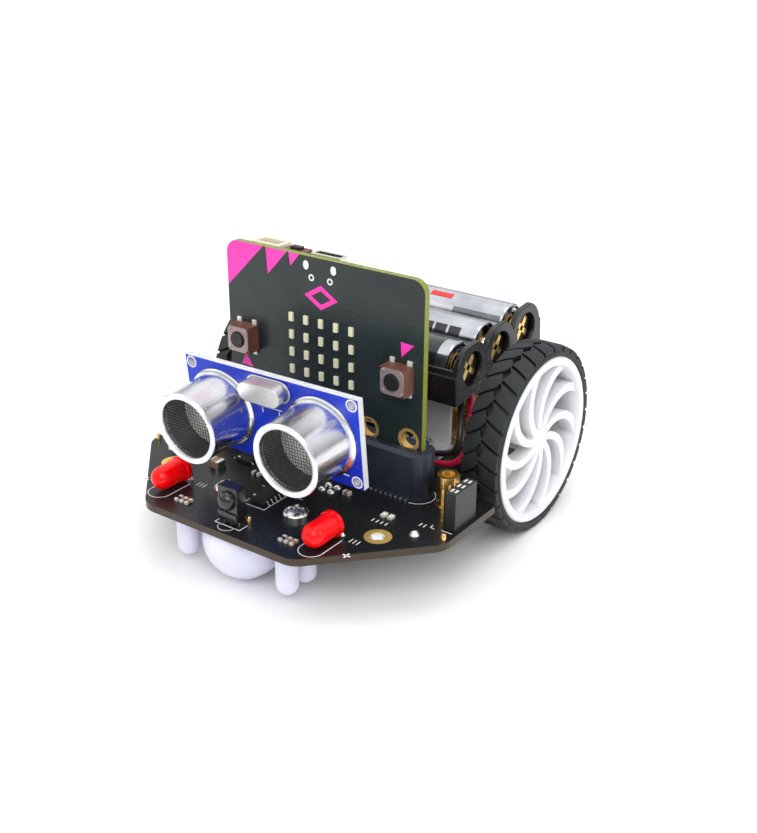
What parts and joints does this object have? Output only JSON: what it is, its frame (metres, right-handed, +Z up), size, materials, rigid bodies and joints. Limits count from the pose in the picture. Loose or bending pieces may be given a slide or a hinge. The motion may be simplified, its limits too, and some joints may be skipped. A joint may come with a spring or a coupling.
{
  "type": "two wheel robot car",
  "caption": "Small two wheel robot car: circuit board chassis, plug-in controller board, ultrasonic sensor, geared motors, ball caster and cell holder.",
  "frame": {"origin": "centre of the overall box, on the ground", "axes": "+Z up, -Y the front, where the ultrasonic sensor looks; +X towards the wheel named right, which is on the viewer's right when the front faces the viewer"},
  "size_m": [0.081, 0.0866, 0.0633],
  "materials": {
    "pcb_black": "black solder mask on glass fibre board",
    "pcb_controller": "dark grey-green solder mask on glass fibre board",
    "pcb_blue": "blue solder mask on glass fibre board",
    "black_plastic": "moulded, fine grain",
    "holder_plastic": "moulded, satin",
    "white_plastic": "moulded, satin",
    "cream_plastic": "moulded nylon",
    "red_lens": "clear tinted epoxy",
    "tyre_rubber": "moulded tread",
    "steel": "nickel plated",
    "motor_steel": "plated can",
    "brass": "turned",
    "gold": "gold plated pins",
    "aluminium": "brushed",
    "mesh": "woven gauze",
    "chip_epoxy": "moulded epoxy",
    "ceramic_parts": "ceramic chips",
    "cell_jacket": "foil sleeve on steel can",
    "button_brown": "moulded with a steel cover",
    "wire_red": "PVC insulation",
    "wire_black": "PVC insulation",
    "foam": "foam tape",
    "led_cream": "LED lenses"
  },
  "bodies": {
    "chassis": {"main_board": "pcb_black", "edge_connector": "black_plastic", "edge_contacts": "gold", "sonar_socket": "black_plastic", "port_sockets": "black_plastic", "port_pins": "gold", "headlight_leds": "red_lens", "component_leads": "steel", "ir_receiver": "chip_epoxy", "board_chips": "chip_epoxy", "small_components": "ceramic_parts", "buzzer": "black_plastic", "power_switch_body": "steel", "line_sensors": "chip_epoxy", "underside_leds": "white_plastic", "caster_housing": "white_plastic", "caster_screws": "steel", "motor_brackets": "white_plastic", "bracket_screws": "steel", "motor_cans": "motor_steel", "motor_end_caps": "white_plastic", "gearbox_frames": "brass", "battery_holder": "holder_plastic", "battery_cells": "cell_jacket", "battery_contacts": "gold", "battery_lead_red": "wire_red", "battery_lead_black": "wire_black", "battery_plug": "white_plastic", "holder_pads": "foam", "brass_posts": "brass", "post_screws": "steel", "controller_board": "pcb_controller", "button_bodies": "button_brown", "reset_body": "button_brown", "led_matrix": "led_cream", "usb_socket": "steel", "battery_jack": "cream_plastic", "controller_chips": "chip_epoxy", "sonar_board": "pcb_blue", "sonar_cans": "aluminium", "sonar_meshes": "mesh", "sonar_crystal": "steel", "sonar_pins": "gold", "sonar_chips": "chip_epoxy"},
    "wheel_right": {"wheel_right": "white_plastic", "tyre_right": "tyre_rubber", "output_shaft_right": "steel"},
    "layshaft_right": {"layshaft_gear_right": "brass"},
    "motor_pinion_right": {"motor_pinion_right": "brass"},
    "wheel_left": {"wheel_left": "white_plastic", "tyre_left": "tyre_rubber", "output_shaft_left": "steel"},
    "layshaft_left": {"layshaft_gear_left": "brass"},
    "motor_pinion_left": {"motor_pinion_left": "brass"},
    "caster_ball": {"caster_ball": "white_plastic"},
    "button_a": {"button_a": "chip_epoxy"},
    "button_b": {"button_b": "chip_epoxy"},
    "reset_button": {"reset_button": "chip_epoxy"},
    "power_switch": {"power_switch_slider": "black_plastic"}
  },
  "joints": [
    {"name": "wheel_right_spin", "type": "hinge", "parent": "chassis", "child": "wheel_right", "pos_m": [0.0353, 0.0209, 0.0215], "axis": [1, 0, 0], "continuous": true},
    {"name": "layshaft_right_turn", "type": "hinge", "parent": "chassis", "child": "layshaft_right", "pos_m": [0.021, 0.02392, 0.02346], "axis": [1, 0, 0], "continuous": true},
    {"name": "motor_pinion_right_turn", "type": "hinge", "parent": "chassis", "child": "motor_pinion_right", "pos_m": [0.0185, 0.0209, 0.0215], "axis": [1, 0, 0], "continuous": true},
    {"name": "wheel_left_spin", "type": "hinge", "parent": "chassis", "child": "wheel_left", "pos_m": [-0.0353, 0.0209, 0.0215], "axis": [1, 0, 0], "continuous": true},
    {"name": "layshaft_left_turn", "type": "hinge", "parent": "chassis", "child": "layshaft_left", "pos_m": [-0.021, 0.01788, 0.02346], "axis": [1, 0, 0], "continuous": true},
    {"name": "motor_pinion_left_turn", "type": "hinge", "parent": "chassis", "child": "motor_pinion_left", "pos_m": [-0.0185, 0.0209, 0.0215], "axis": [1, 0, 0], "continuous": true},
    {"name": "caster_ball_roll", "type": "hinge", "parent": "chassis", "child": "caster_ball", "pos_m": [0, -0.0344, 0.0063], "axis": [1, 0, 0], "continuous": true},
    {"name": "button_a_press", "type": "slide", "parent": "chassis", "child": "button_a", "axis": [0, 1, 0], "range_m": [0, 0.00025], "stiffness_N_per_m": 800},
    {"name": "button_b_press", "type": "slide", "parent": "chassis", "child": "button_b", "axis": [0, 1, 0], "range_m": [0, 0.00025], "stiffness_N_per_m": 800},
    {"name": "reset_button_press", "type": "slide", "parent": "chassis", "child": "reset_button", "axis": [0, 0, -1], "range_m": [0, 0.00025], "stiffness_N_per_m": 800},
    {"name": "power_switch_slide", "type": "slide", "parent": "chassis", "child": "power_switch", "axis": [1, 0, 0], "range_m": [0, 0.0019]}
  ],
  "couplings": [
    {"joint": "layshaft_right_turn", "follows": "wheel_right_spin", "ratio": -2.6},
    {"joint": "motor_pinion_right_turn", "follows": "wheel_right_spin", "ratio": 6.76},
    {"joint": "layshaft_left_turn", "follows": "wheel_left_spin", "ratio": -2.6},
    {"joint": "motor_pinion_left_turn", "follows": "wheel_left_spin", "ratio": 6.76}
  ]
}
